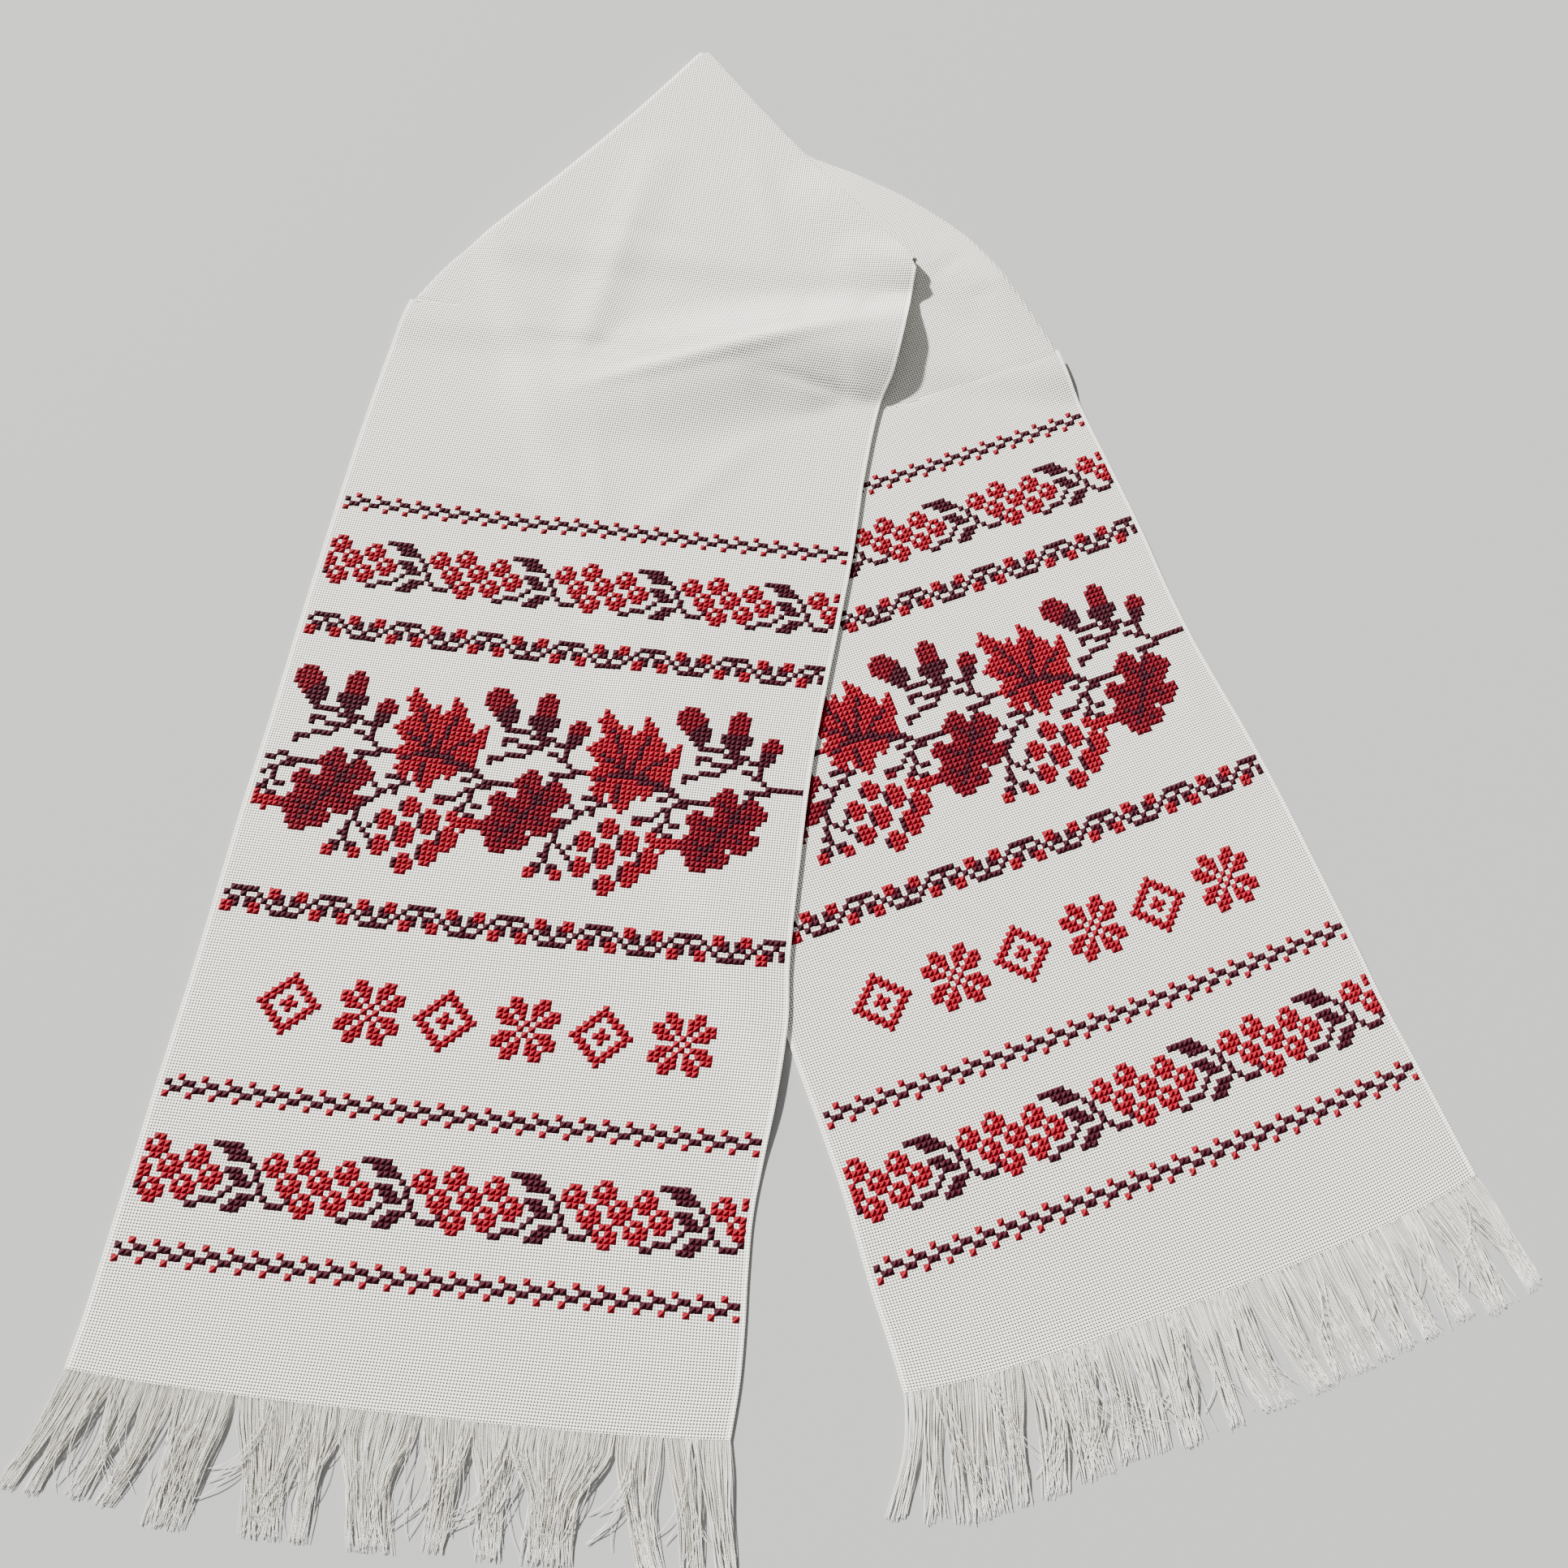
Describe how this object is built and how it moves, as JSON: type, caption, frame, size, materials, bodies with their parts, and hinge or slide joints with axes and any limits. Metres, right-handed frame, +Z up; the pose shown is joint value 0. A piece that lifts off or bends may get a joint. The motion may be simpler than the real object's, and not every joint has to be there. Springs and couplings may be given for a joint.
{
  "type": "ritual towel",
  "caption": "Long embroidered linen-look ceremonial towel with fringed ends, folded at the middle and laid flat as an inverted V, its two ends side by side and slightly crossed",
  "frame": {"origin": "On the table surface, in the middle of the footprint of the laid towel", "axes": "+Z up off the table, +Y from the fringed ends towards the folded peak, +X to the right as seen from the fringed ends"},
  "size_m": [0.8376, 1.0968, 0.0201],
  "materials": {
    "cloth": "matte",
    "fringe": "satin"
  },
  "bodies": {
    "root": {"cloth": "cloth", "fringe_left": "fringe", "fringe_right": "fringe"}
  },
  "joints": []
}
